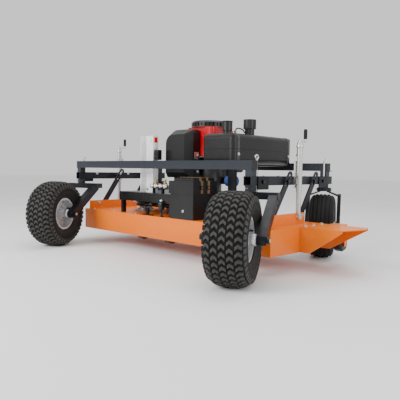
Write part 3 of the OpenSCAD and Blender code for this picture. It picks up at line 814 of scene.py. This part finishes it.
def post_fittings():
    """Reflectors, clasp, switch box and bolts of the upright post, and the pipe fittings at its foot."""
    side = at("hose_post", 1, 0, 0)
    reflector = (4, 28, 36)
    blocks("post_reflector_red", "deck", RED_LENS, [(side + mm(0, 9, 338), reflector)], 1.6)
    blocks("post_reflector_white", "deck", WHITE_LENS, [(side + mm(0, 9, 299), reflector)], 1.6)
    clasp = side + mm(0, 8, 262)
    blocks("post_clasp", "deck", "zinc", [(clasp, (3, 30, 24)), (clasp + mm(2, 8, 6), (9, 14, 10))], 0.8)
    box = side + mm(7, 2, 221)
    blocks("switch_box", "deck", "black_plastic",
           [(box, (41, 34, 67)), (box + mm(-8, 8, 20), (9, 18, 26)),
            (box + mm(9, -4, 34), (22, 5, 15)), (box + mm(9, -4, 12), (22, 5, 15))], 2.0)
    run = side + mm(-10, -4, 48)
    turned("pipe_run", "deck", "zinc", [(run, RIGHT)],
           [(0, 0), (14, 0), (14, 14), (9, 16), (9, 34), (17, 36), (17, 56), (9, 58), (9, 80),
            (15, 82), (15, 100), (9, 102), (9, 124), (17, 126), (17, 150), (11, 152), (11, 160), (0, 160)])
    turned("pipe_unions", "deck", BRASS, [(run + mm(x, 0, 16), UP) for x in (46, 138)],
           [(0, 0), (12, 0), (12, 9), (7, 10), (7, 18), (10, 19), (10, 26), (6, 28), (0, 28)])
    stands = [(run + mm(x, -8, -49), (12, 16, 42)) for x in (20, 110)]
    blocks("pipe_stands", "deck", "frame_paint", stands, 1.0)
    holes = [(at("hose_post", 0.5, 0, 0, (x, 42, z)), BACK, 5.5) for x, z in ((-40, 24), (40, 24), (0, 200))]
    bolts("post_bolts", "deck", holes)


def engine_fittings():
    """Plate and bolts of the muffler cover, the screen's collar, hub and bolts, and the shroud's screws."""
    edge = at("muffler_cover", 1, 0, 0)
    blocks("cover_plate", "deck", "zinc", [(edge + mm(-12, 60, 123), (13, 40, 46))], 1.0)
    bolts("cover_bolts", "deck",
          [(at("muffler_cover", 1, 1, 0, (0, -18, z)), RIGHT, 5.0) for z in (42, 147)])
    low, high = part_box("rotating_screen")
    radius = (high.x - low.x) / 2 / MM
    collar = at("rotating_screen", 0.5, 0.5, 0, (0, 0, -2))
    turned("screen_collar", "deck", "shroud_red", [(collar, UP)],
           [(radius - 26, 0), (radius + 1, 0), (radius + 1, 1.2), (radius - 26, 1.2), (radius - 26, 0)], 72)
    crown = at("rotating_screen", 0.5, 0.5, 1)
    turned("screen_hub", "engine_crank", "zinc", [(crown, UP)],
           [(0, 0), (24, 0), (24, 1.6), (12, 2.4), (12, 9), (9, 11), (0, 11)])
    bolts("screen_bolts", "engine_crank", [(spot, UP, 3.0) for spot in circle(crown, 74, 6)])
    screws = [(at("blower_shroud", x, 0, 0, (inset, 0, z)), BACK, 4.0)
              for x, inset in ((0, 50), (1, -50)) for z in (22, 120)]
    screws += [(at("blower_shroud", 1, y, 0, (0, inset, z)), RIGHT, 4.0)
               for y, inset in ((0, 60), (1, -60)) for z in (22, 120)]
    bolts("shroud_screws", "deck", screws)


def oil_filter_flutes():
    """Rounded flutes round the outer end of the oil filter."""
    count = 18
    end = at("oil_filter", 1, 0.5, 0.5, (-27, 0, 0))
    angles = [2 * math.pi * i / count for i in range(count)]
    spots = [(end + mm(0, 33.5 * math.cos(a), 33.5 * math.sin(a)), RIGHT) for a in angles]
    turned("oil_filter_flutes", "deck", "filter_blue", spots, [(0, 0), (3, 0), (3, 20), (0, 20.8)], 12)


def battery_fittings():
    """Webbing straps over the lid, a buckle on each, and a screw in the box."""
    low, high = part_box("battery_lid")
    left, right = low.x - 0.8 * MM, high.x + 0.8 * MM
    foot = low.z + 3 * MM
    shoulder = high.z - 21 * MM
    crown = high.z + 0.6 * MM
    crown_left, crown_right = low.x + 32 * MM, high.x - 14 * MM
    wide, thick = 20 * MM, 2.2 * MM
    profile = [(left, foot), (left, shoulder + 1 * MM),
               (crown_left, shoulder + 1.2 * MM), (crown_left, crown),
               (crown_right, crown), (crown_right, shoulder + 1.2 * MM),
               (right, shoulder + 1 * MM), (right, foot)]
    ends = (0, len(profile) - 1)
    grown = [(x + (-thick if i < 4 else thick), z + (0 if i in ends else thick))
             for i, (x, z) in enumerate(profile)]
    straps = bmesh.new()
    buckles = []
    for share in (0.3, 0.58):
        near = low.y + (high.y - low.y) * share
        loops = [[straps.verts.new((x, y, z)) for x, z in profile + grown[::-1]]
                 for y in (near, near + wide)]
        skin(straps, loops)
        for loop in loops:
            for i in range(len(profile) - 1):
                straps.faces.new((loop[i], loop[i + 1], loop[-2 - i], loop[-1 - i]))
        side = Vector((high.x + 2.6 * MM, near, low.z))
        buckles += [(side + mm(0, -3, z), (3, 26, 5)) for z in (28, 46)]
        buckles += [(side + mm(0, y, 28), (3, 4, 23)) for y in (-4, 20)]
    link(from_bmesh("battery_straps", straps), "battery_lid", STRAP)
    blocks("battery_buckles", "battery_lid", "black_plastic", buckles, 0.8)
    bolts("battery_box_screws", "deck", [(at("battery_box", 0.57, 0, 0.3), BACK, 4.0)])


def tank_straps():
    """Flat metal straps wrapped round the tank, with its round corners."""
    low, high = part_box("fuel_tank")
    corner, wide, thick = TANK_CORNER * MM, 22 * MM, 1.6 * MM
    path = round_corners((low.x, low.z), (high.x, low.z + TANK_HEIGHT * MM), corner)
    bm = bmesh.new()
    for y in (low.y + TANK_STRAP_INSET * MM, high.y - TANK_STRAP_INSET * MM):
        near, far = y - wide / 2, y + wide / 2
        outline = ((corner, near), (corner + thick, near), (corner + thick, far), (corner, far))
        loops = [[bm.verts.new((a + c * out, edge, b + s * out)) for a, b, c, s in path]
                 for out, edge in outline]
        skin(bm, loops + loops[:1])
    link(from_bmesh("tank_straps", bm), "deck", "engine_alloy")


def tank_seam():
    """The moulding seam level round the middle of the tank."""
    low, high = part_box("fuel_tank")
    corner = TANK_CORNER * MM
    middle = low.z + TANK_HEIGHT / 2 * MM
    path = round_corners(low, high, corner)
    bm = bmesh.new()
    loops = []
    for out, z in ((-1.0, -2.5), (1.8, -1.6), (1.8, 1.6), (-1.0, 2.5)):
        reach = corner + out * MM
        loops.append([bm.verts.new((a + c * reach, b + s * reach, middle + z * MM)) for a, b, c, s in path])
    skin(bm, loops + loops[:1])
    link(from_bmesh("tank_moulding_seam", bm), "deck", "black_plastic", True)


def tank_fittings():
    """Straps, moulding seam, gauge face, vent fitting and pipe of the fuel tank."""
    tank_straps()
    tank_seam()
    gauge = at("fuel_tank", 0, 0, 1, (140, 80, 0))
    turned("gauge_bezel", "deck", "black_plastic", [(gauge, UP)],
           [(23, -1), (33, -1), (34, 2), (33, 5), (27, 6), (24, 3), (23, -1)], 48)
    turned("gauge_lens", "deck", WHITE_LENS, [(gauge, UP)],
           [(0, -0.5), (24, -0.5), (24, 1.5), (20, 2.4), (0, 2.8)], 48)
    vent = at("fuel_tank", 0, 0, 0, (150, 145, TANK_HEIGHT - 1))
    turned("vent_fitting", "deck", BRASS, [(vent, UP)],
           [(0, 0), (9, 0), (9, 6), (5, 7), (5, 16), (8, 17), (8, 25), (4, 27), (0, 27)], 20)
    pipe_end = centre("fuel_cap") + mm(-22, -26, 0)
    pipe_end.z = vent.z + 19 * MM
    pipe = [vent + mm(0, 0, 24), vent + mm(2, 12, 38), vent + mm(10, 62, 34), pipe_end]
    tube_piece("vent_pipe", pipe, 4.2 * MM, "deck", "belt_rubber")
    bolts("tank_strap_bolts", "deck",
          [(at("fuel_tank", 1, y, 0, (1.5, inset, 60)), RIGHT, 4.5)
           for y, inset in ((0, TANK_STRAP_INSET), (1, -TANK_STRAP_INSET))])


def jack_fittings():
    """Collars on the two screw jacks, and the ribbed grips on their crank handles."""
    low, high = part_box("jack_tubes")
    ribs = [(10.5 + 0.9 * (i % 2), 3 + 4 * i) for i in range(13)]
    end = [(10.0, 56), (7.0, 58.6), (0, 58.6), (0, 58.1), (9.05, 58.1), (9.05, 0)]
    grip = [(9.05, 0), (10.5, 0)] + ribs + end
    for name, x in (("left", low.x + 17 * MM), ("right", high.x - 17 * MM)):
        crank = name + "_jack_crank"
        near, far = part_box(crank)
        collar = Vector((x, near.y, high.z)) + mm(0, 11, -30)
        turned(name + "_jack_collar", "frame", "zinc", [(collar, UP)],
               [(17, 0), (20, 0), (20.5, 1), (20.5, 17), (20, 18), (17, 18), (17, 0)], 40)
        handle = Vector((x, far.y, far.z)) + mm(0, -9, -58)
        turned(name + "_crank_grip", crank, "belt_rubber", [(handle, UP)], grip, 32)


frame_fittings()
for caster in CASTERS:
    caster_fittings(caster)
deck_fittings()
post_fittings()
engine_fittings()
oil_filter_flutes()
battery_fittings()
tank_fittings()
jack_fittings()

# ---- floor and lights ----

GROUND_GAP = 0.0005
FLOOR_SIZE = 60.0
WORLD_STRENGTH = 0.95
# Name, place, width of the light, its power in watts, and what it points at
LIGHTS = (
    ("key", (-0.6, -4.4, 2.6), 2.2, 230.0, (-0.2, 0.0, 0.3)),
    ("right_fill", (4.6, 0.2, 2.0), 2.0, 60.0, (0.2, 0.2, 0.4)),
    ("top", (0.0, 0.6, 4.2), 3.2, 70.0, (0.0, 0.0, 0.4)),
)


def add_floor():
    bpy.ops.mesh.primitive_plane_add(size=FLOOR_SIZE, location=(0, 0, -GROUND_GAP))
    floor = bpy.context.active_object
    floor.name = "floor"
    mat, tree, shader = new_material("floor")
    base = ramp(tree, noise(tree, 0.6, 2.0), 0.3, 0.86, 0.8, 0.9)
    tree.links.new(base, shader.inputs["Base Color"])
    shader.inputs["Roughness"].default_value = 0.6
    floor.data.materials.append(mat)


def add_lights():
    world = bpy.data.worlds.new("studio")
    world.use_nodes = True
    background = world.node_tree.nodes["Background"]
    background.inputs["Color"].default_value = (1.0, 1.0, 1.0, 1.0)
    background.inputs["Strength"].default_value = WORLD_STRENGTH
    bpy.context.scene.world = world
    for name, place, size, power, target in LIGHTS:
        data = bpy.data.lights.new(name, "AREA")
        data.energy = power
        data.size = size
        lamp = bpy.data.objects.new(name, data)
        bpy.context.scene.collection.objects.link(lamp)
        lamp.location = place
        lamp.rotation_euler = (Vector(target) - Vector(place)).to_track_quat("-Z", "Y").to_euler()


add_floor()
add_lights()
